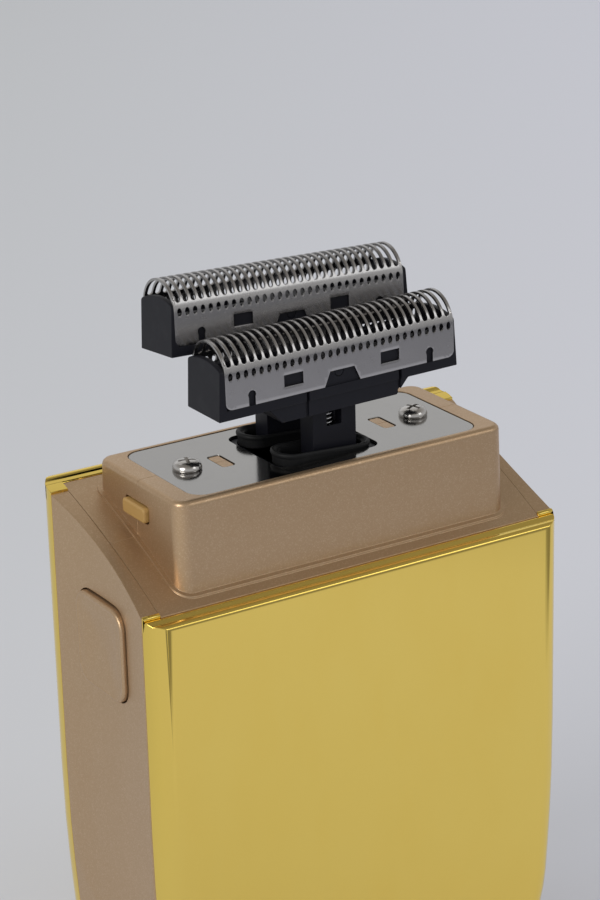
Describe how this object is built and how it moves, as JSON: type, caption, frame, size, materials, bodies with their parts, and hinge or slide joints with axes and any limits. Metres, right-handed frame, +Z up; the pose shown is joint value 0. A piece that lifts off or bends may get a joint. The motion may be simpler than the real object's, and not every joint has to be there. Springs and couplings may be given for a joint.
{
  "type": "electric shaver",
  "caption": "Rechargeable foil shaver with its foil head off: gold covers, champagne sides, steel-topped plinth, sprung rocking cutters on sliding posts, release buttons and power button.",
  "frame": {"origin": "middle of the flat base", "axes": "+Z up through the body to the cutters, +X to the right along the cutters, -Y out of the plain front cover, +Y out of the cover with the power button"},
  "size_m": [0.062, 0.029, 0.1077],
  "materials": {
    "gold_metal": "satin gold anodised",
    "champagne_plastic": "satin metallic champagne paint",
    "plate_steel": "satin, finely brushed",
    "comb_steel": "satin",
    "spring_steel": "bright drawn wire",
    "screw_steel": "bright plated",
    "rod_steel": "ground",
    "cutter_black": "semi-gloss black",
    "boot_rubber": "matte",
    "latch_yellow": "satin",
    "acetal_white": "satin",
    "chassis_grey": "matte",
    "motor_steel": "nickel plated",
    "cell_sleeve": "shrink sleeve",
    "board_green": "solder mask",
    "contact_nickel": "nickel plated",
    "wire_red": "insulation",
    "led_white": "diffusing resin",
    "lens_smoke": "translucent"
  },
  "bodies": {
    "case": {"front_housing": "champagne_plastic", "rear_housing": "champagne_plastic", "left_side_panel": "champagne_plastic", "right_side_panel": "champagne_plastic", "front_cover": "gold_metal", "rear_cover": "gold_metal", "bottom_cap": "champagne_plastic", "top_plate": "plate_steel", "plate_screws": "screw_steel", "cap_screws": "screw_steel", "case_screws": "screw_steel", "boot_frame": "cutter_black", "front_drive_boot": "boot_rubber", "rear_drive_boot": "boot_rubber", "chassis": "chassis_grey", "front_guide_rod": "rod_steel", "rear_guide_rod": "rod_steel", "motor_can": "motor_steel", "motor_end_cap": "acetal_white", "motor_screws": "screw_steel", "left_latch_spring": "spring_steel", "right_latch_spring": "spring_steel", "battery_cell": "cell_sleeve", "battery_cradle": "chassis_grey", "battery_contacts": "contact_nickel", "circuit_board": "board_green", "board_screws": "screw_steel", "tact_switch": "cutter_black", "indicator_leds": "led_white", "charging_board": "board_green", "charging_socket": "contact_nickel", "button_bezel": "gold_metal", "indicator_lens": "lens_smoke", "motor_wires": "wire_red", "battery_wires": "wire_red"},
    "rotor": {"motor_shaft": "rod_steel", "double_eccentric": "acetal_white"},
    "front_drive": {"front_drive_slide": "cutter_black", "front_cutter_spring": "spring_steel"},
    "rear_drive": {"rear_drive_slide": "cutter_black", "rear_cutter_spring": "spring_steel"},
    "front_float": {"front_plunger": "acetal_white", "front_pivot_pin": "cutter_black"},
    "rear_float": {"rear_plunger": "acetal_white", "rear_pivot_pin": "cutter_black"},
    "front_cutter": {"front_cutter_carrier": "cutter_black", "front_cutter_comb": "comb_steel"},
    "rear_cutter": {"rear_cutter_carrier": "cutter_black", "rear_cutter_comb": "comb_steel"},
    "left_release": {"left_release_button": "champagne_plastic", "left_latch": "latch_yellow"},
    "right_release": {"right_release_button": "champagne_plastic", "right_latch": "latch_yellow"},
    "power": {"power_button": "gold_metal"}
  },
  "joints": [
    {"name": "front_stroke", "type": "slide", "parent": "case", "child": "front_drive", "axis": [1, 0, 0], "range_m": [-0.002, 0.0004]},
    {"name": "rear_stroke", "type": "slide", "parent": "case", "child": "rear_drive", "axis": [1, 0, 0], "range_m": [-0.0004, 0.002]},
    {"name": "front_float_travel", "type": "slide", "parent": "front_drive", "child": "front_float", "axis": [0, 0, 1], "range_m": [-0.002, 0], "stiffness_N_per_m": 200, "springref_m": 0.0025, "deforming": ["front_cutter_spring"]},
    {"name": "rear_float_travel", "type": "slide", "parent": "rear_drive", "child": "rear_float", "axis": [0, 0, 1], "range_m": [-0.002, 0], "stiffness_N_per_m": 200, "springref_m": 0.0025, "deforming": ["rear_cutter_spring"]},
    {"name": "front_rock", "type": "hinge", "parent": "front_float", "child": "front_cutter", "pos_m": [0.0008, -0.0042, 0.09535], "axis": [0, 1, 0], "range_deg": [-2.2, 3.8]},
    {"name": "rear_rock", "type": "hinge", "parent": "rear_float", "child": "rear_cutter", "pos_m": [-0.0008, 0.0042, 0.10065], "axis": [0, 0.9956, -0.0941], "range_deg": [-4.9, 1.1]},
    {"name": "left_release_press", "type": "slide", "parent": "case", "child": "left_release", "axis": [1, 0, 0], "range_m": [0, 0.001], "stiffness_N_per_m": 1500, "springref_m": -0.0015, "deforming": ["left_latch_spring"]},
    {"name": "right_release_press", "type": "slide", "parent": "case", "child": "right_release", "axis": [-1, 0, 0], "range_m": [0, 0.001], "stiffness_N_per_m": 1500, "springref_m": -0.0015, "deforming": ["right_latch_spring"]},
    {"name": "power_press", "type": "slide", "parent": "case", "child": "power", "axis": [0, -1, 0], "range_m": [0, 0.0005], "stiffness_N_per_m": 2000, "springref_m": -0.0005},
    {"name": "rotor_spin", "type": "hinge", "parent": "case", "child": "rotor", "pos_m": [0, 0, 0.0705], "axis": [0, 0, 1], "continuous": true}
  ],
  "couplings": [
    {"joint": "rear_stroke", "follows": "front_stroke", "ratio": -1}
  ]
}
